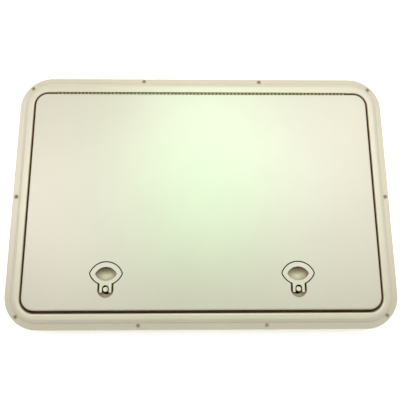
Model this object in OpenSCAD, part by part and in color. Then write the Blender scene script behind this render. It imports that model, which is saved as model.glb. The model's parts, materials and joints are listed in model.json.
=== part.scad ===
/* [Frame] */
// Length of the frame along the hinge
frame_w = 620; // [560:1:720]
// Width of the frame from latch side to hinge side
frame_d = 420; // [380:1:520]
// Outside corner radius of the frame
frame_r = 53.5; // [50:0.5:60]
// Thickness of the screw band in its middle
band_t = 3.2; // [3.1:0.1:3.4]
// Width of the screw band
band_w = 11.2; // [11.2:0.1:11.6]
// Height of the raised rim above the deck
rim_h = 7.5; // [7.5:0.1:8.5]
// Width of the raised rim and its slope, at the ends
rim_side = 25.4; // [25:0.1:27]
// Width of the raised rim and its slope, at the front
rim_front = 25.4; // [25:0.1:27]
// Width of the raised rim and its slope, at the hinge
rim_back = 28.6; // [27:0.1:29]
// Corner radius of the opening in the rim
opening_r = 23; // [22:0.5:25]
// Wall thickness of the moulded frame
wall_t = 3; // [3:0.1:3.4]
// Depth of the skirt below the deck
skirt_h = 38; // [36:0.5:60]

/* [Gutter] */
// Clear width of the rain gutter
gutter_w = 14; // [14:0.5:16]
// Depth of the gutter floor below the deck
gutter_h = 17; // [16:0.5:18]
// Depth of the top of the sill below the deck
sill_drop = 3; // [2.9:0.1:3.1]
// Outside radius of a drain spigot
spigot_r = 5.5; // [5:0.1:5.5]
// Bore radius of a drain spigot
spigot_bore_r = 3.5; // [3:0.1:3.5]
// Length of a drain spigot below the gutter
spigot_h = 14; // [10:0.5:15]
// Distance of a drain spigot from the middle
spigot_x = 235; // [215:1:245]

/* [Deck screws] */
// Radius of the screw holes
screw_r = 2.2; // [2:0.1:2.3]
// Radius of the countersinks
sink_r = 4.2; // [4:0.1:4.3]
// Distance of the holes from the outer edge
screw_edge = 6; // [5.8:0.1:6.2]
// Distance of the front and back holes from the middle
screw_x = 100; // [80:1:130]

/* [Lid] */
// Gap between the lid and the frame at the ends
gap_side = 2.5; // [2.5:0.1:3]
// Gap between the lid and the frame at the front
gap_front = 4.4; // [4.4:0.1:5]
// Gap between the lid and the frame at the back
gap_back = 1.7; // [1.6:0.1:1.8]
// Thickness of the lid skin
skin_t = 4; // [3.8:0.1:4.2]
// Depth of the lid's edge below its top
lip_h = 14; // [13.5:0.1:14.2]
// Thickness of the stiffening ribs
rib_t = 2.5; // [2:0.1:3]
// Depth of the ribs below the lid's top
rib_h = 16.5; // [14:0.5:17]
// Rounding of the top edges
edge_r = 2.5; // [2.3:0.1:2.6]

/* [Hinge] */
// Length of one knuckle
knuckle_l = 6.35; // [6:0.05:6.5]
// Number of knuckles
knuckles = 78; // [40:2:78]
// Outside radius of the knuckles
barrel_r = 1.6; // [1.55:0.05:1.65]
// Radius of the hinge pin
pin_r = 0.8; // [0.7:0.05:0.85]
// Thickness of a hinge leaf
leaf_t = 0.8; // [0.75:0.05:0.8]
// Number of screws in each leaf
leaf_screws = 6; // [4:1:8]

/* [Latch] */
// Distance of each latch from the middle
latch_x = 151.5; // [120:0.5:175]
// Distance of the latch spindle from the sill
latch_back = 19.5; // [19:0.1:19.8]
// Radius of the arcs that bound the ring's recess
lens_r = 28.5; // [28:0.1:28.7]
// Gap between the ring and its recess
ring_gap = 1.9; // [1.6:0.1:2]
// Thickness of the lift ring
ring_t = 4; // [3.8:0.1:4.2]
// Radius of the spindle well
well_r = 12.8; // [12.5:0.1:13]
// Radius of the spindle's head
head_r = 3.8; // [3.8:0.1:4.2]
// Radius of the spindle's shaft
shaft_r = 4.5; // [4.5:0.1:4.6]
// Reach of the pawl from the spindle's axis
pawl_reach = 32; // [30:0.5:33]
// Thickness of the pawl
pawl_t = 4; // [3:0.1:4]

/* [Hidden] */
$fn = 64;
eps = 0.01;
cut = 1;
join = 1;

// Lines that the frame and the lid share
opening_w = frame_w - 2 * rim_side;
opening_d = frame_d - rim_front - rim_back;
opening_y = (rim_front - rim_back) / 2;
skirt_w = opening_w + 2 * wall_t;
skirt_d = opening_d + 2 * wall_t;
sill_w = opening_w - 2 * gutter_w;
sill_d = opening_d - 2 * gutter_w;
sill_r = opening_r - gutter_w;
clear_w = sill_w - 2 * wall_t;
clear_d = sill_d - 2 * wall_t;
clear_r = sill_r - wall_t;
lid_w = opening_w - 2 * gap_side;
lid_d = opening_d - gap_front - gap_back;
lid_y = (gap_front - gap_back) / 2;
lid_r = opening_r - gap_side;
band_fall = 0.7;
band_edge_r = 2.2;
crest_r = 7;
shoulder_w = 6.3;
shoulder_lap = 3;
rim_start = band_w + shoulder_w;
ledge_z = -gutter_h - wall_t;
spigot_gap = 0.2;
spigot_y = -(sill_d / 2 + spigot_bore_r + spigot_gap);

// Deck screw holes
sink_drop = 0.1;
corner_in = frame_r - (frame_r - screw_edge) * sqrt(0.5);
corner_x = frame_w / 2 - corner_in;
corner_y = frame_d / 2 - corner_in;
side_x = frame_w / 2 - screw_edge;
front_y = frame_d / 2 - screw_edge;
deck_holes = concat(
    [for (x = [-corner_x, corner_x], y = [-corner_y, corner_y]) [x, y]],
    [for (x = [-screw_x, screw_x], y = [-front_y, front_y]) [x, y]],
    [[-side_x, 0], [side_x, 0]]
);

// Underside of the lid
skin_z = rim_h - skin_t;
lip_z = rim_h - lip_h;
rib_z = rim_h - rib_h;
seal_w = (clear_w + sill_w) / 2;
seal_d = (clear_d + sill_d) / 2;
seal_r = (clear_r + sill_r) / 2;
seal_half = 3;
seal_gap = 0.3;
web_gap = 4.5;
web_w = clear_w - 2 * web_gap;
web_d = clear_d - 2 * web_gap;
web_r = 8;
rib_pitch_x = 60;
rib_pitch_y = 64;

// Hinge line
hinge_y = opening_d / 2 - gap_back / 2;
hinge_drop = 0.2;
hinge_z = rim_h - barrel_r - hinge_drop;
hinge_l = knuckles * knuckle_l;
rebate_gap = 0.5;
rebate_r = barrel_r + rebate_gap;
rebate_end = 0.5;
knuckle_gap = 1.1;
pin_play = 0.05;
frame_leaf_z = -10;
leaf_screw_r = 1.4;
leaf_head_r = leaf_screw_r + leaf_t;
leaf_screw_l = 5.6;
screw_tip = 1.2;
screw_shift = 2;
frame_leaf_screw_z = -4.5;
lid_leaf_screw_z = -2.2;
screw_boss_r = 4;
screw_boss_h = 2.9;
screw_pitch = hinge_l / leaf_screws;
screw_line = [for (i = [0 : leaf_screws - 1]) (i + 0.5) * screw_pitch - hinge_l / 2 + screw_shift];

// Latch heights, from the lid's top down to the end of the spindle
latch_y = -(clear_d / 2 - latch_back);
ring_z = rim_h - ring_t;
rest_gap = 0.3;
ledge_top = ring_z - rest_gap;
pocket_t = 2.5;
floor_z = 0;
seat_t = 1.8;
top_drop = 0.5;
bowl_z = rim_h - top_drop;
slot_half = well_r - rest_gap;
well_z = -8.5;
well_floor_t = 3;
counterbore_r = 7.6;
collar_r = 6.8;
collar_t = 2.2;
slide_gap = 0.1;
collar_z = well_z + slide_gap;
well_washer_t = 1.5;
well_washer_z = collar_z + collar_t + slide_gap;
boss_r = 8.5;
boss_z = -19;
washer_t = 1;
washer_play = 0.2;
washer_in_r = shaft_r + washer_play;
washer_out_r = 8;
spring_h = 1.5;
spring_t = 0.5;
spring_z = boss_z - washer_t - slide_gap - spring_h;
pawl_z = spring_z - pawl_t;
pad_gap = 0.4;
pad_inset = 0.8;
pawl_hub_r = 8.5;
pawl_tip_r = 5.5;
pawl_waist = 0.5;
square_w = 6.3;
nut_r = 3;
nut_washer_t = 1.2;
nut_washer_r = 6.5;
nut_h = 5;
nut_hex_r = 5.77;
nut_collar_r = 4.4;
nut_collar_h = 1.2;
nut_chamfer = 0.6;
nut_z = pawl_z - nut_washer_t - nut_h;
thread_out = 0.8;
spindle_end = nut_z - nut_collar_h - thread_out;
bore_play = 0.05;
o_ring_r = 0.7;
o_ring_z = -14;
o_ring_play = 0.2;

// Lift ring and its recess, measured from the spindle's axis
lens_mid_y = 24.7;
lens_off = 9.4;
tip_r = 5;
tip_step = 0.05;
eye_mid_y = 24;
eye_half_w = 16.9;
eye_half_h = 10.8;
eye_tip_r = 3;
eye_r = (pow(eye_half_w - eye_tip_r, 2) + pow(eye_half_h, 2) - pow(eye_tip_r, 2))
    / (2 * (eye_half_h - eye_tip_r));
eye_off = eye_r - eye_half_h;
neck_half = 9.3;
slot_r = 5.4;
slot_top = 1.3;
neck_lap = 2;
stub_inset = 0.5;
stub_gap = 0.3;
tine_end = 4.7;
pivot_z = ring_z + 0.5;
lug_r = 3;
stub_r = 1.2;
groove_r = 2.6;
groove_half = 1.5;
head_top = rim_h - top_drop;
head_round = 0.5;
cup_out = 3;
cup_r = 24;
cup_z = -8.5;

// A rectangle with rounded corners
module round_rect(w, d, r) {
    square([w - 2 * r, d], center = true);
    square([w, d - 2 * r], center = true);
    for (x = [-1, 1], y = [-1, 1])
        translate([x * (w / 2 - r), y * (d / 2 - r)])
            circle(r);
}

// A rounded slab between two heights
module slab(w, d, r, z0, z1) {
    translate([0, 0, z0])
        linear_extrude(z1 - z0)
            round_rect(w, d, r);
}

// A wall of one thickness that follows a rounded rectangle
module ring_wall(w, d, r, t, z0, z1) {
    difference() {
        slab(w, d, r, z0, z1);
        slab(w - 2 * t, d - 2 * t, r - t, z0 - cut, z1 + cut);
    }
}

// A section carried round a rounded rectangle: x is outwards from the line, y is up
module sweep(w, d, r) {
    for (side = [[0, w, d], [90, d, w], [180, w, d], [270, d, w]])
        rotate([90, 0, side[0]])
            linear_extrude(side[2] - 2 * r, center = true)
                translate([side[1] / 2, 0])
                    children();
    for (corner = [[0, 1, 1], [90, -1, 1], [180, -1, -1], [270, 1, -1]])
        translate([corner[1] * (w / 2 - r), corner[2] * (d / 2 - r), 0])
            rotate([0, 0, corner[0]])
                rotate_extrude(angle = 90)
                    translate([r, 0])
                        children();
}

// A rod along the hinge line
module rod_x(r, l) {
    rotate([0, 90, 0])
        cylinder(r = r, h = l, center = true);
}

// Moves a shape from the hinge axis to its place
module at_hinge() {
    translate([0, hinge_y, hinge_z])
        children();
}

// Room for the hinge's leaves and knuckles, open to the top
module hinge_rebate(bottom) {
    rebate_l = hinge_l + 2 * rebate_end;
    at_hinge()
        rod_x(rebate_r, rebate_l);
    translate([-rebate_l / 2, hinge_y - barrel_r, bottom])
        cube([rebate_l, 2 * barrel_r, rim_h - bottom + cut]);
}

// Section of the screw band and the round shoulder up to the rim
module band_section() {
    band_outer = band_t - band_fall;
    band_inner = band_t + band_fall;
    difference() {
        union() {
            polygon([
                [-rim_start, 0],
                [-band_edge_r, 0],
                [-band_edge_r, band_outer],
                [-band_w - join, band_inner],
                [-rim_start, band_inner]
            ]);
            intersection() {
                translate([-band_edge_r, band_outer - band_edge_r])
                    circle(band_edge_r);
                translate([-band_edge_r - eps, 0])
                    square([band_edge_r + 2 * eps, band_outer + eps]);
            }
            intersection() {
                translate([-rim_start, rim_h - crest_r])
                    circle(crest_r);
                translate([-rim_start - eps, 0])
                    square([crest_r, rim_h + eps]);
            }
            translate([-rim_start - shoulder_lap, 0])
                square([shoulder_lap + eps, rim_h]);
        }
        translate([-rim_start, rim_h - crest_r])
            circle(crest_r - wall_t);
        translate([-rim_start - shoulder_lap - cut, -cut])
            square([shoulder_lap + cut, rim_h - wall_t + cut]);
    }
}

// Cutter that rounds a top edge, on its outer or inner side
module edge_cutter(side) {
    difference() {
        translate([side > 0 ? -eps : -edge_r, rim_h - edge_r])
            square([edge_r + eps, edge_r + cut]);
        translate([side * edge_r, rim_h - edge_r])
            circle(edge_r);
    }
}

module deck_screw_holes() {
    sink_h = sink_r - screw_r;
    sink_top = band_t - sink_drop;
    for (p = deck_holes)
        translate([p[0], p[1], 0]) {
            translate([0, 0, -cut])
                cylinder(r = screw_r, h = band_t + 2 * cut);
            translate([0, 0, sink_top - sink_h])
                cylinder(r1 = screw_r, r2 = sink_r, h = sink_h);
            translate([0, 0, sink_top - eps])
                cylinder(r = sink_r, h = rim_h);
        }
}

// Moves a shape from the middle of the opening to its place
module at_opening() {
    translate([0, opening_y, 0])
        children();
}

// Skirt and hinge screw bosses, still solid inside
module skirt_body() {
    slab(skirt_w, skirt_d, opening_r + wall_t, -skirt_h, rim_h);
    for (x = screw_line)
        translate([x, opening_d / 2 + eps, frame_leaf_screw_z])
            rotate([-90, 0, 0])
                cylinder(r = screw_boss_r, h = wall_t + screw_boss_h);
}

// The opening, less the gutter, the sill and the drain spigots that stand in it
module opening_space() {
    difference() {
        slab(opening_w, opening_d, opening_r, -skirt_h - cut, rim_h + cut);
        ring_wall(opening_w + 2 * join, opening_d + 2 * join, opening_r + join,
            gutter_w + wall_t + join, ledge_z, -gutter_h);
        ring_wall(sill_w, sill_d, sill_r, wall_t, ledge_z, -sill_drop);
        for (x = [-spigot_x, spigot_x])
            translate([x, spigot_y, ledge_z - spigot_h])
                cylinder(r = spigot_r, h = spigot_h + wall_t);
    }
    for (x = [-spigot_x, spigot_x])
        translate([x, spigot_y, ledge_z - spigot_h - cut])
            cylinder(r = spigot_bore_r, h = spigot_h + wall_t + 2 * cut);
    sweep(opening_w, opening_d, opening_r)
        edge_cutter(1);
}

module frame() {
    color("antiquewhite")
        difference() {
            union() {
                sweep(frame_w, frame_d, frame_r)
                    band_section();
                slab(frame_w - 2 * rim_start - 2 * join, frame_d - 2 * rim_start - 2 * join,
                    frame_r - rim_start - join, rim_h - wall_t, rim_h);
                at_opening()
                    skirt_body();
            }
            at_opening() {
                opening_space();
                hinge_rebate(frame_leaf_z);
                hinge_screw_set(1, 0);
            }
            deck_screw_holes();
        }
}

// Two arcs that meet in rounded tips, drawn larger by an outset
module almond(mid_y, arc_r, off, tip, outset) {
    tip_x = sqrt(pow(arc_r - tip, 2) - pow(off, 2));
    cut_x = tip_x * (arc_r + outset) / (arc_r - tip);
    intersection() {
        translate([0, mid_y - off])
            circle(arc_r + outset);
        translate([0, mid_y + off])
            circle(arc_r + outset);
        translate([0, mid_y])
            square([2 * cut_x, 4 * arc_r], center = true);
    }
    for (x = [-tip_x, tip_x])
        translate([x, mid_y])
            circle(tip - tip_step + outset);
}

// The outline of the ring's recess
module lens(outset) {
    almond(lens_mid_y, lens_r, lens_off, tip_r, outset);
}

// The outline of the ring's eye
module eye(outset) {
    almond(eye_mid_y, eye_r, eye_off, eye_tip_r, outset);
}

// The hollow that holds the ring, the finger cup and the spindle well
module pocket_space() {
    translate([0, 0, floor_z])
        linear_extrude(rim_h - floor_z + cut)
            difference() {
                union() {
                    lens(0);
                    translate([-slot_half, 0])
                        square([2 * slot_half, well_r]);
                }
                eye(cup_out + seat_t);
            }
    translate([0, 0, ledge_top])
        linear_extrude(ring_t + cut)
            eye(cup_out + seat_t + eps);
    intersection() {
        translate([0, 0, cup_z - cut])
            linear_extrude(ledge_top - cup_z + cut + eps)
                eye(cup_out);
        translate([0, eye_mid_y, cup_z + cup_r])
            sphere(cup_r);
    }
    translate([0, 0, bowl_z])
        sphere(well_r);
    translate([0, 0, well_z])
        cylinder(r = counterbore_r, h = bowl_z - well_z);
    translate([0, 0, boss_z - cut])
        cylinder(r = shaft_r + bore_play, h = well_z - boss_z + 2 * cut);
}

// The moulded walls round that hollow
module pocket_body() {
    translate([0, 0, floor_z - pocket_t])
        linear_extrude(skin_z - floor_z + pocket_t + eps)
            lens(pocket_t);
    intersection() {
        translate([0, 0, bowl_z])
            sphere(well_r + pocket_t);
        translate([0, 0, well_z])
            cylinder(r = well_r + pocket_t, h = skin_z - well_z + eps);
    }
    translate([0, 0, well_z - well_floor_t])
        cylinder(r = counterbore_r + pocket_t, h = well_floor_t + well_r / 2);
    intersection() {
        translate([0, 0, cup_z - pocket_t - cut])
            linear_extrude(skin_z - cup_z + pocket_t + cut)
                eye(cup_out + pocket_t);
        translate([0, eye_mid_y, cup_z + cup_r])
            sphere(cup_r + pocket_t);
    }
    translate([0, 0, boss_z])
        cylinder(r = boss_r, h = well_z - boss_z);
}

module at_latch(side) {
    translate([side * latch_x, latch_y, 0])
        children();
}

module lid_ribs() {
    for (x = [-4 : 4])
        translate([x * rib_pitch_x - rib_t / 2, -web_d / 2 + join, rib_z])
            cube([rib_t, web_d - 2 * join, skin_z - rib_z + eps]);
    for (y = [-1.5 : 1.5])
        translate([-web_w / 2 + join, y * rib_pitch_y - rib_t / 2, rib_z])
            cube([web_w - 2 * join, rib_t, skin_z - rib_z + eps]);
}

module lid() {
    color("ivory")
        at_opening()
            difference() {
                union() {
                    translate([0, lid_y, 0]) {
                        slab(lid_w, lid_d, lid_r, skin_z, rim_h);
                        ring_wall(lid_w, lid_d, lid_r, wall_t, lip_z, rim_h - edge_r);
                    }
                    ring_wall(web_w, web_d, web_r, wall_t, rib_z, skin_z + eps);
                    lid_ribs();
                    for (side = [-1, 1])
                        at_latch(side)
                            pocket_body();
                    for (x = screw_line)
                        translate([x, lid_y + lid_d / 2 - eps, lid_leaf_screw_z])
                            rotate([90, 0, 0])
                                cylinder(r = screw_boss_r, h = wall_t + screw_boss_h);
                }
                translate([0, lid_y, 0])
                    sweep(lid_w, lid_d, lid_r)
                        edge_cutter(-1);
                for (side = [-1, 1])
                    at_latch(side)
                        pocket_space();
                hinge_rebate(lip_z - cut);
                hinge_screw_set(-1, 0);
            }
}

module lid_gasket() {
    color("black")
        at_opening()
            sweep(seal_w, seal_d, seal_r) {
                translate([-seal_half, -sill_drop + seal_gap + seal_half])
                    square([2 * seal_half, skin_z + sill_drop - seal_gap - seal_half]);
                translate([0, -sill_drop + seal_gap + seal_half])
                    circle(seal_half);
            }
}

// Countersunk screws of one leaf: side is 1 for the frame's and -1 for the lid's
module hinge_screw_set(side, tip) {
    z = side > 0 ? frame_leaf_screw_z : lid_leaf_screw_z;
    for (x = screw_line)
        translate([x, hinge_y + side * (barrel_r - leaf_t), z])
            rotate([-side * 90, 0, 0]) {
                cylinder(r1 = leaf_head_r, r2 = leaf_screw_r, h = leaf_t);
                cylinder(r = leaf_screw_r, h = leaf_screw_l - tip);
                translate([0, 0, leaf_screw_l - tip])
                    cylinder(r1 = leaf_screw_r, r2 = leaf_screw_r / 2, h = tip + eps);
            }
}

// One leaf of the piano hinge: side is 1 for the frame's and -1 for the lid's
module hinge_leaf(side, bottom, bore) {
    first = side > 0 ? 0 : 1;
    face = side > 0 ? barrel_r - leaf_t : -barrel_r;
    neck = rebate_r - slide_gap;
    difference() {
        at_hinge()
            difference() {
                union() {
                    translate([-hinge_l / 2, face, bottom - hinge_z])
                        cube([hinge_l, leaf_t, hinge_z - bottom - neck]);
                    for (i = [first : 2 : knuckles - 1])
                        translate([i * knuckle_l - hinge_l / 2 + knuckle_gap / 2, 0, 0]) {
                            rotate([0, 90, 0])
                                cylinder(r = barrel_r, h = knuckle_l - knuckle_gap, $fn = 32);
                            translate([0, face, -neck - eps])
                                cube([knuckle_l - knuckle_gap, leaf_t, neck]);
                        }
                }
                rod_x(bore, hinge_l + 2 * cut);
            }
        hinge_screw_set(side, 0);
    }
}

module hinge_frame_leaf() {
    color("silver")
        at_opening()
            hinge_leaf(1, frame_leaf_z, pin_r);
}

module hinge_lid_leaf() {
    color("silver")
        at_opening()
            hinge_leaf(-1, lip_z, pin_r + pin_play);
}

module hinge_pin() {
    color("gray")
        at_opening()
            at_hinge()
                rod_x(pin_r, hinge_l);
}

module ring() {
    color("ivory")
        difference() {
            union() {
                translate([0, 0, ring_z])
                    linear_extrude(ring_t)
                        difference() {
                            union() {
                                lens(-ring_gap);
                                translate([-neck_half, -tine_end])
                                    square([2 * neck_half, tine_end + eye_mid_y - eye_half_h - neck_lap]);
                            }
                            eye(0);
                            translate([0, slot_top])
                                circle(slot_r);
                            translate([-slot_r, -2 * tine_end])
                                square([2 * slot_r, 2 * tine_end + slot_top]);
                        }
                for (x = [-1, 1])
                    translate([x * (slot_r + neck_half) / 2, 0, pivot_z])
                        rod_x(lug_r, neck_half - slot_r);
            }
            translate([0, 0, pivot_z])
                rod_x(stub_r, 2 * (neck_half - stub_inset));
        }
}

module pivot_pins() {
    inner = groove_r + stub_gap;
    outer = neck_half - stub_inset;
    color("silver")
        for (x = [-1, 1])
            translate([x * (inner + outer) / 2, 0, pivot_z])
                rod_x(stub_r, outer - inner);
}

module spindle() {
    neck_r = shaft_r - 2 * o_ring_r;
    neck_h = 2 * (o_ring_r + o_ring_play);
    color("gainsboro")
        difference() {
            union() {
                rotate_extrude() {
                    square([head_r - head_round, head_top]);
                    square([head_r, head_top - head_round]);
                    translate([head_r - head_round, head_top - head_round])
                        circle(head_round);
                    translate([0, collar_z])
                        square([head_r, -collar_z + eps]);
                    translate([0, collar_z])
                        square([collar_r, collar_t]);
                    translate([0, spring_z])
                        square([shaft_r, collar_z - spring_z + eps]);
                    translate([0, spindle_end])
                        square([nut_r, spring_z - spindle_end + eps]);
                }
                translate([-square_w / 2, -square_w / 2, pawl_z])
                    cube([square_w, square_w, pawl_t + eps]);
            }
            translate([0, 0, pivot_z - groove_half])
                washer(groove_r, head_r + cut, 2 * groove_half);
            translate([0, 0, o_ring_z - neck_h / 2])
                washer(neck_r, shaft_r + cut, neck_h);
        }
}

// A flat ring
module washer(inner, outer, t) {
    difference() {
        cylinder(r = outer, h = t);
        translate([0, 0, -cut])
            cylinder(r = inner, h = t + 2 * cut);
    }
}

module well_washer() {
    color("black")
        translate([0, 0, well_washer_z])
            washer(head_r + washer_play, counterbore_r - slide_gap, well_washer_t);
}

module o_ring() {
    color("black")
        translate([0, 0, o_ring_z])
            rotate_extrude()
                translate([shaft_r - o_ring_r, 0])
                    circle(o_ring_r, $fn = 24);
}

module thrust_washer() {
    color("silver")
        translate([0, 0, boss_z - washer_t])
            washer(washer_in_r, washer_out_r, washer_t);
}

module spring_washer() {
    color("silver")
        translate([0, 0, spring_z])
            rotate_extrude()
                polygon([
                    [washer_out_r, 0],
                    [washer_out_r, spring_t],
                    [washer_in_r, spring_h],
                    [washer_in_r, spring_h - spring_t]
                ]);
}

// Outline of the pawl, pointing along +X
module pawl_outline() {
    tip_x = pawl_reach - pawl_tip_r;
    circle(pawl_hub_r);
    translate([tip_x, 0])
        circle(pawl_tip_r);
    polygon([
        [0, pawl_hub_r - pawl_waist],
        [tip_x, pawl_tip_r - pawl_waist],
        [tip_x, pawl_waist - pawl_tip_r],
        [0, pawl_waist - pawl_hub_r]
    ]);
}

module pawl() {
    color("silver")
        difference() {
            union() {
                translate([0, 0, pawl_z])
                    linear_extrude(pawl_t)
                        pawl_outline();
                translate([pawl_reach - pawl_tip_r, 0, pawl_z])
                    cylinder(r = pawl_tip_r - pad_inset, h = ledge_z - pad_gap - pawl_z);
            }
            translate([-square_w / 2, -square_w / 2, pawl_z - cut])
                cube([square_w, square_w, pawl_t + 2 * cut]);
        }
}

module pawl_washer() {
    color("silver")
        translate([0, 0, pawl_z - nut_washer_t])
            washer(nut_r + washer_play, nut_washer_r, nut_washer_t);
}

module pawl_nut() {
    color("silver")
        translate([0, 0, nut_z])
            difference() {
                union() {
                    intersection() {
                        cylinder(r = nut_hex_r, h = nut_h, $fn = 6);
                        cylinder(r1 = nut_hex_r - nut_chamfer, r2 = nut_hex_r + nut_h, h = nut_h);
                    }
                    translate([0, 0, -nut_collar_h])
                        cylinder(r = nut_collar_r, h = nut_collar_h + eps);
                }
                translate([0, 0, -nut_collar_h - cut])
                    cylinder(r = nut_r, h = nut_h + nut_collar_h + 2 * cut);
            }
}

// The right latch mirrors the left one, so that both pawls point inwards when released
module latch_part(side, name) {
    at_opening()
        at_latch(side)
            mirror([side > 0 ? 1 : 0, 0, 0]) {
                if (name == "ring") ring();
                if (name == "pivot_pins") pivot_pins();
                if (name == "spindle") spindle();
                if (name == "well_washer") well_washer();
                if (name == "o_ring") o_ring();
                if (name == "thrust_washer") thrust_washer();
                if (name == "spring_washer") spring_washer();
                if (name == "pawl") pawl();
                if (name == "pawl_washer") pawl_washer();
                if (name == "pawl_nut") pawl_nut();
            }
}

module hinge_frame_screws() {
    color("gainsboro")
        at_opening()
            hinge_screw_set(1, screw_tip);
}

module hinge_lid_screws() {
    color("gainsboro")
        at_opening()
            hinge_screw_set(-1, screw_tip);
}

frame();
lid();
lid_gasket();
hinge_frame_leaf();
hinge_lid_leaf();
hinge_pin();
hinge_frame_screws();
hinge_lid_screws();
latch_part(-1, "ring");  // left_ring
latch_part(-1, "pivot_pins");  // left_pivot_pins
latch_part(-1, "spindle");  // left_spindle
latch_part(-1, "well_washer");  // left_well_washer
latch_part(-1, "o_ring");  // left_o_ring
latch_part(-1, "thrust_washer");  // left_thrust_washer
latch_part(-1, "spring_washer");  // left_spring_washer
latch_part(-1, "pawl");  // left_pawl
latch_part(-1, "pawl_washer");  // left_pawl_washer
latch_part(-1, "pawl_nut");  // left_pawl_nut
latch_part(1, "ring");  // right_ring
latch_part(1, "pivot_pins");  // right_pivot_pins
latch_part(1, "spindle");  // right_spindle
latch_part(1, "well_washer");  // right_well_washer
latch_part(1, "o_ring");  // right_o_ring
latch_part(1, "thrust_washer");  // right_thrust_washer
latch_part(1, "spring_washer");  // right_spring_washer
latch_part(1, "pawl");  // right_pawl
latch_part(1, "pawl_washer");  // right_pawl_washer
latch_part(1, "pawl_nut");  // right_pawl_nut
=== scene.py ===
"""Looks of the deck hatch: materials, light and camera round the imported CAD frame."""
import json
import math

import bmesh
import bpy
from mathutils import Matrix, Vector


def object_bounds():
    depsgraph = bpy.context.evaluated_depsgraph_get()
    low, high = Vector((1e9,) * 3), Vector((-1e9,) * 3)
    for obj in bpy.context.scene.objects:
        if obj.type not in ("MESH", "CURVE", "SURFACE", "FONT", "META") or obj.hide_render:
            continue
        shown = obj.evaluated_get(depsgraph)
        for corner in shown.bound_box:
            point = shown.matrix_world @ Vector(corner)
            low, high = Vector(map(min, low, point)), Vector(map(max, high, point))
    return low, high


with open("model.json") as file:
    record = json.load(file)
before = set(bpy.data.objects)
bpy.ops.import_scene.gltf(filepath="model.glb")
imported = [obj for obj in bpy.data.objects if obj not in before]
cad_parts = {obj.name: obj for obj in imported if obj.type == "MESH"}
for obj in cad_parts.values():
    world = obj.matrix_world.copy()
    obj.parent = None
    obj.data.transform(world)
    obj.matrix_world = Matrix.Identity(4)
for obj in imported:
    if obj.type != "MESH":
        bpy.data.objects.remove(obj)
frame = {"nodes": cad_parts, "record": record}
cad_low, cad_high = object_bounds()

MM = 0.001


# ---------------------------------------------------------------- camera

FOCAL_MM = 36
SENSOR_MM = 36
NEAR_CLIP = 0.01
FAR_CLIP = 20


def make_camera(azimuth, elevation, roll, target, distance):
    """Looks at a target from a distance. Angles are in degrees, and azimuth 0 is the front."""
    a, e = math.radians(azimuth), math.radians(elevation)
    back = Vector((math.sin(a) * math.cos(e), -math.cos(a) * math.cos(e), math.sin(e)))
    right = (-back).cross(Vector((0, 0, 1))).normalized()
    up = right.cross(-back)
    turn = Matrix((right, up, back)).transposed()
    data = bpy.data.cameras.new("camera")
    data.lens = FOCAL_MM
    data.sensor_width = SENSOR_MM
    data.clip_start = NEAR_CLIP
    data.clip_end = FAR_CLIP
    camera = bpy.data.objects.new("camera", data)
    bpy.context.scene.collection.objects.link(camera)
    camera.location = Vector(target) + back * distance
    camera.rotation_euler = (turn @ Matrix.Rotation(math.radians(roll), 3, "Z")).to_euler()
    bpy.context.scene.camera = camera


make_camera(azimuth=-4.56, elevation=79.14, roll=4.47, target=(-3.3 * MM, -4.6 * MM, 0), distance=660.2 * MM)


# ---------------------------------------------------------------- shader helpers

AO_SAMPLES = 8


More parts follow.
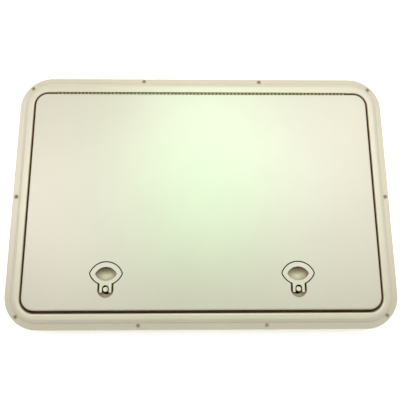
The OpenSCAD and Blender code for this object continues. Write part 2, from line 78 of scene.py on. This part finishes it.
class Shader:
    """A node tree with one Principled shader, and short ways to add nodes to it."""

    def __init__(self, name):
        self.material = bpy.data.materials.new(name)
        self.material.use_nodes = True
        self.tree = self.material.node_tree
        self.tree.nodes.clear()
        self.surface = self.tree.nodes.new("ShaderNodeBsdfPrincipled")
        output = self.tree.nodes.new("ShaderNodeOutputMaterial")
        self.link(self.surface.outputs["BSDF"], output.inputs["Surface"])
        self.place = self.tree.nodes.new("ShaderNodeTexCoord").outputs["Object"]

    def link(self, start, end):
        self.tree.links.new(start, end)

    def drive(self, name, value):
        """Feeds one input of the surface from a socket."""
        self.link(value, self.surface.inputs[name])

    def set(self, **values):
        for name, value in values.items():
            self.surface.inputs[name.replace("_", " ")].default_value = value

    def noise(self, scale, detail=4.0, stretch=(1, 1, 1)):
        mapping = self.tree.nodes.new("ShaderNodeMapping")
        mapping.inputs["Scale"].default_value = stretch
        self.link(self.place, mapping.inputs["Vector"])
        node = self.tree.nodes.new("ShaderNodeTexNoise")
        node.inputs["Scale"].default_value = scale
        node.inputs["Detail"].default_value = detail
        self.link(mapping.outputs["Vector"], node.inputs["Vector"])
        return node.outputs["Fac"]

    def cells(self, scale):
        node = self.tree.nodes.new("ShaderNodeTexVoronoi")
        node.feature = "SMOOTH_F1"
        node.inputs["Scale"].default_value = scale
        self.link(self.place, node.inputs["Vector"])
        return node.outputs["Distance"]

    def stripes(self, pitch):
        """Soft bands across X, one pitch apart. The wave node's own period is pi / (10 * scale)."""
        node = self.tree.nodes.new("ShaderNodeTexWave")
        node.bands_direction = "X"
        node.inputs["Scale"].default_value = math.pi / (10 * pitch)
        self.link(self.place, node.inputs["Vector"])
        return node.outputs["Fac"]

    def span(self, value, low, high, to_low=0.0, to_high=1.0):
        node = self.tree.nodes.new("ShaderNodeMapRange")
        node.inputs["From Min"].default_value = low
        node.inputs["From Max"].default_value = high
        node.inputs["To Min"].default_value = to_low
        node.inputs["To Max"].default_value = to_high
        self.link(value, node.inputs["Value"])
        return node.outputs["Result"]

    def blend(self, share, first, second):
        """Colour first where share is 0 and second where it is 1. Either may be a colour or a socket."""
        node = self.tree.nodes.new("ShaderNodeMix")
        node.data_type = "RGBA"
        self.link(share, node.inputs["Factor"])
        for name, value in (("A", first), ("B", second)):
            socket = next(s for s in node.inputs if s.name == name and s.type == "RGBA")
            if isinstance(value, bpy.types.NodeSocket):
                self.link(value, socket)
            else:
                socket.default_value = (*value, 1)
        return next(s for s in node.outputs if s.type == "RGBA")

    def bump(self, height, distance, strength=1.0, below=None):
        node = self.tree.nodes.new("ShaderNodeBump")
        node.inputs["Strength"].default_value = strength
        node.inputs["Distance"].default_value = distance
        self.link(height, node.inputs["Height"])
        if below is not None:
            self.link(below, node.inputs["Normal"])
        return node.outputs["Normal"]

    def crevice(self, reach):
        """0 in tight corners and 1 in the open."""
        node = self.tree.nodes.new("ShaderNodeAmbientOcclusion")
        node.samples = AO_SAMPLES
        node.inputs["Distance"].default_value = reach
        return node.outputs["AO"]


def tinted(colour, shares):
    return [c * share for c, share in zip(colour, shares)]


def shaded(colour, share):
    return [c * share for c in colour]


# ---------------------------------------------------------------- materials

# Painted shade: what is left of the plastic's red, green and blue in hollows, tight corners, seams and the
# deepest gaps
HOLLOW_SHADE = (0.78, 0.68, 0.54)
CORNER_SHADE = (0.50, 0.36, 0.22)
SEAM_SHADE = (0.36, 0.215, 0.09)
DEEP_GAP_SHADE = (0.05, 0.024, 0.004)

# How far a crevice reaches, from a tight corner to a deep gap
CORNER_REACH = 3.5 * MM
SEAM_REACH = 8 * MM
GAP_REACH = 14 * MM
HOLLOW_REACH = 40 * MM


def moulded_plastic(name, colour, roughness):
    """Satin moulded plastic with a fine grain and faint clouding. Its colour darkens in tight corners, seams,
    deep gaps and hollows as painted shade, and its coat and specular fade out in gaps, also painted shade.
    """
    s = Shader(name)
    clouds = s.span(s.noise(9, 3), 0.35, 0.65)
    undarkened = s.blend(clouds, shaded(colour, 0.98), shaded(colour, 1.012))
    near = s.crevice(GAP_REACH)
    far = s.crevice(HOLLOW_REACH)
    # Painted shade: the colour darkens by ambient occlusion in hollows, tight corners, seams and the deepest
    # gaps
    hollow_shaded = s.blend(s.span(far, 0.25, 0.85), tinted(colour, HOLLOW_SHADE), undarkened)
    corner_shaded = s.blend(s.span(s.crevice(CORNER_REACH), 0.62, 0.97), tinted(colour, CORNER_SHADE), hollow_shaded)
    seam_shaded = s.blend(s.span(s.crevice(SEAM_REACH), 0.10, 0.40), tinted(colour, SEAM_SHADE), corner_shaded)
    s.drive("Base Color", s.blend(s.span(far, 0.02, 0.15), tinted(colour, DEEP_GAP_SHADE), seam_shaded))
    s.drive("Roughness", s.span(s.noise(60, 5), 0.3, 0.7, roughness - 0.04, roughness + 0.06))
    grain = s.bump(s.cells(1400), 0.02 * MM, 0.35)
    s.drive("Normal", s.bump(s.noise(45, 2), 0.08 * MM, 0.25, grain))
    s.drive("Coat Weight", s.span(near, 0.50, 0.95, 0.05, 1.0))
    s.drive("Specular IOR Level", s.span(near, 0.30, 0.80, 0.0, 0.5))
    s.set(IOR=1.5, Coat_IOR=1.9, Coat_Roughness=0.36)
    return s.material


# Noise scales across and along the lines of a brushed finish
LINES_ACROSS = 900
LINES_ALONG = 12


def brush(s, colour, roughness, along):
    """Gives a shader a metal finish with fine lines along an axis. Returns its colour, with a few dull spots."""
    stretch = [LINES_ACROSS] * 3
    stretch[along] = LINES_ALONG
    lines = s.noise(1, 3, stretch)
    s.drive("Roughness", s.span(lines, 0.3, 0.7, roughness - 0.06, roughness + 0.10))
    s.drive("Normal", s.bump(lines, 0.02 * MM, 0.3))
    s.set(Metallic=1.0)
    return s.blend(s.span(s.noise(120, 4), 0.45, 0.75), colour, shaded(colour, 0.72))


def brushed_metal(name, colour, roughness, along):
    """Metal with fine lines brushed along an axis and a few dull spots."""
    s = Shader(name)
    s.drive("Base Color", brush(s, colour, roughness, along))
    return s.material


def hinge_metal(name, colour, roughness, pitch):
    """Metal brushed along X, darkened to near black at each joint between the knuckles, one pitch apart."""
    s = Shader(name)
    undarkened = brush(s, colour, roughness, 0)
    s.drive("Base Color", s.blend(s.span(s.stripes(pitch), 0.15, 0.75), shaded(colour, 0.05), undarkened))
    return s.material


def black_polymer(name, colour, roughness, grain_scale):
    """Rubber or nylon with a fine grain and a dusty bloom."""
    s = Shader(name)
    s.drive("Base Color", s.blend(s.span(s.noise(70, 5), 0.5, 0.8), colour, [c * 2.2 + 0.01 for c in colour]))
    s.drive("Roughness", s.span(s.noise(150, 4), 0.3, 0.7, roughness - 0.08, roughness + 0.08))
    s.drive("Normal", s.bump(s.noise(grain_scale, 3), 0.03 * MM, 0.4))
    return s.material


KNUCKLE_PITCH = 6.35 * MM

CREAM = (0.755, 0.62, 0.535)
LID_CREAM = (0.725, 0.60, 0.545)
RING_CREAM = (0.755, 0.64, 0.57)

materials = {
    "frame_plastic": moulded_plastic("frame_plastic", CREAM, 0.42),
    "lid_plastic": moulded_plastic("lid_plastic", LID_CREAM, 0.42),
    "ring_plastic": moulded_plastic("ring_plastic", RING_CREAM, 0.36),
    "gasket_rubber": black_polymer("gasket_rubber", (0.018, 0.018, 0.018), 0.7, 900),
    # Painted shade: this nylon is set near black to stand in for the deep shadow in the latch wells
    "black_nylon": black_polymer("black_nylon", (0.003, 0.0025, 0.002), 0.95, 1200),
    "hinge_steel": hinge_metal("hinge_steel", (0.62, 0.50, 0.36), 0.45, KNUCKLE_PITCH),
    "pin_steel": brushed_metal("pin_steel", (0.10, 0.09, 0.07), 0.45, 0),
    "screw_steel": brushed_metal("screw_steel", (0.60, 0.59, 0.56), 0.25, 1),
    "spindle_metal": brushed_metal("spindle_metal", (0.76, 0.65, 0.58), 0.48, 1),
    "washer_steel": brushed_metal("washer_steel", (0.58, 0.57, 0.55), 0.28, 0),
    "pawl_steel": brushed_metal("pawl_steel", (0.55, 0.54, 0.52), 0.34, 0),
    "nut_steel": brushed_metal("nut_steel", (0.58, 0.57, 0.55), 0.25, 2),
}

for part in frame["record"]["subparts"]:
    mesh = frame["nodes"][part["node"]].data
    mesh.materials.clear()
    mesh.materials.append(materials[part["material_slot"]])


SHARP_DEG = 40


def soften(node, width):
    """Rounds the sharp edges of a CAD node with a live modifier."""
    bevel = frame["nodes"][node].modifiers.new("soft_edges", "BEVEL")
    bevel.width = width
    bevel.segments = 2
    bevel.limit_method = "ANGLE"
    bevel.angle_limit = math.radians(SHARP_DEG)


for latch in ("left", "right"):
    soften(f"{latch}_ring", 0.45 * MM)
    soften(f"{latch}_pawl", 0.3 * MM)


# ---------------------------------------------------------------- floor, and painted shade under the screw holes

FLOOR_RADIUS = 12.0
FLOOR_WALL_H = 3.2
FLOOR_SIDES = 48
FLOOR_GLOW = 0.55
SHADE_REACH = 60 * MM

# The outline of the flange has corners of this radius
CORNER_R = 53.5 * MM
CORNER_STEPS = 8


def lit_paper(glow):
    """Matt white paper that glows like a light table. Under the hatch its glow fades and its colour darkens to a
    painted shade.
    """
    s = Shader("lit_paper")
    open_air = s.span(s.crevice(SHADE_REACH), 0.20, 0.50)
    white = s.blend(s.span(s.noise(4, 2), 0.3, 0.7), (0.90, 0.90, 0.89), (0.93, 0.93, 0.92))
    # Painted shade: under the hatch the paper turns dark tan and stops glowing
    s.drive("Base Color", s.blend(open_air, (0.30, 0.27, 0.23), white))
    s.drive("Emission Strength", s.span(open_air, 0, 1, 0, glow))
    s.drive("Normal", s.bump(s.noise(300, 3), 0.1 * MM, 0.15))
    s.set(Roughness=0.9, Emission_Color=(1, 1, 1, 1))
    return s.material


def hole_shade_paint():
    """Matt tan colour in lighter and darker patches, a painted shade for what shows through the screw holes."""
    s = Shader("hole_shade_paint")
    patches = s.span(s.noise(40, 4), 0.35, 0.65)
    s.drive("Base Color", s.blend(patches, (0.40, 0.31, 0.20), (0.52, 0.42, 0.30)))
    s.drive("Normal", s.bump(s.noise(400, 3), 0.1 * MM, 0.2))
    s.set(Roughness=0.85)
    return s.material


def bridge(bm, first, second):
    """Joins two closed loops of vertices with a band of faces."""
    for i in range(len(first)):
        j = (i + 1) % len(first)
        bm.faces.new((first[i], first[j], second[j], second[i]))


def add_mesh(name, bm, material):
    mesh = bpy.data.meshes.new(name)
    bm.to_mesh(mesh)
    bm.free()
    mesh.materials.append(material)
    thing = bpy.data.objects.new(name, mesh)
    bpy.context.scene.collection.objects.link(thing)
    return thing


def make_floor(radius, wall_h, sides):
    """A wide round pale sheet under the hatch, turned up into a low wall at its edge."""
    bm = bmesh.new()
    turns = [2 * math.pi * i / sides for i in range(sides)]
    ground, top = (
        [bm.verts.new((radius * math.cos(t), radius * math.sin(t), cad_low.z + z)) for t in turns]
        for z in (0, wall_h))
    bm.faces.new(ground)
    bridge(bm, top, ground)
    floor = add_mesh("floor", bm, lit_paper(FLOOR_GLOW))


def make_hole_shade_strip(near_edge, far_edge, drop):
    """A flat ring of painted shade just under the flange, seen through its screw holes, between two distances in
    from its outline.
    """
    bm = bmesh.new()
    rings = []
    for inset in (near_edge, far_edge):
        ring = []
        for quarter, (x, y) in enumerate([(1, 1), (-1, 1), (-1, -1), (1, -1)]):
            for step in range(CORNER_STEPS + 1):
                turn = (quarter + step / CORNER_STEPS) * math.pi / 2
                ring.append(bm.verts.new((
                    x * (cad_high.x - CORNER_R) + (CORNER_R - inset) * math.cos(turn),
                    y * (cad_high.y - CORNER_R) + (CORNER_R - inset) * math.sin(turn),
                    -drop)))
        rings.append(ring)
    bridge(bm, *rings)
    strip = add_mesh("screw_hole_shade", bm, hole_shade_paint())


# ---------------------------------------------------------------- light

WORLD_COLOUR = (1.0, 0.985, 0.96, 1)
WORLD_STRENGTH = 0.10


def soft_light(name, place, aim, size, radiance, colour):
    """A rectangular softbox whose face has the given radiance."""
    data = bpy.data.lights.new(name, "AREA")
    data.shape = "RECTANGLE"
    data.size, data.size_y = size
    data.energy = radiance * math.pi * size[0] * size[1]
    data.color = colour
    light = bpy.data.objects.new(name, data)
    bpy.context.scene.collection.objects.link(light)
    light.visible_camera = False
    light.location = place
    light.rotation_euler = (Vector(aim) - Vector(place)).to_track_quat("-Z", "Y").to_euler()


def make_light():
    world = bpy.data.worlds.new("studio")
    bpy.context.scene.world = world
    world.use_nodes = True
    background = world.node_tree.nodes["Background"]
    background.inputs["Color"].default_value = WORLD_COLOUR
    background.inputs["Strength"].default_value = WORLD_STRENGTH
    soft_light("glow_light", (0.08, 0.72, 2.8), (0, 0, 0), (0.9, 1.3), 6.9, (0.34, 0.95, 0.45))
    soft_light("key_light", (0.2, 0.5, 0.9), (0.1, 0.1, 0), (1.0, 0.5), 2.1, (1.0, 0.93, 0.93))
    soft_light("left_light", (-1.0, 0.3, 1.5), (-0.2, 0, 0), (0.9, 1.4), 2.85, (1.0, 0.90, 0.90))
    soft_light("right_light", (1.0, 0.3, 1.5), (0.2, 0, 0), (0.9, 1.4), 2.0, (1.0, 0.93, 0.90))


make_floor(FLOOR_RADIUS, FLOOR_WALL_H, FLOOR_SIDES)
# Painted shade: a tan sheet just under the flange darkens what shows through its screw holes
make_hole_shade_strip(2.5 * MM, 14 * MM, 0.6 * MM)
make_light()
bpy.context.scene.view_settings.view_transform = "Standard"
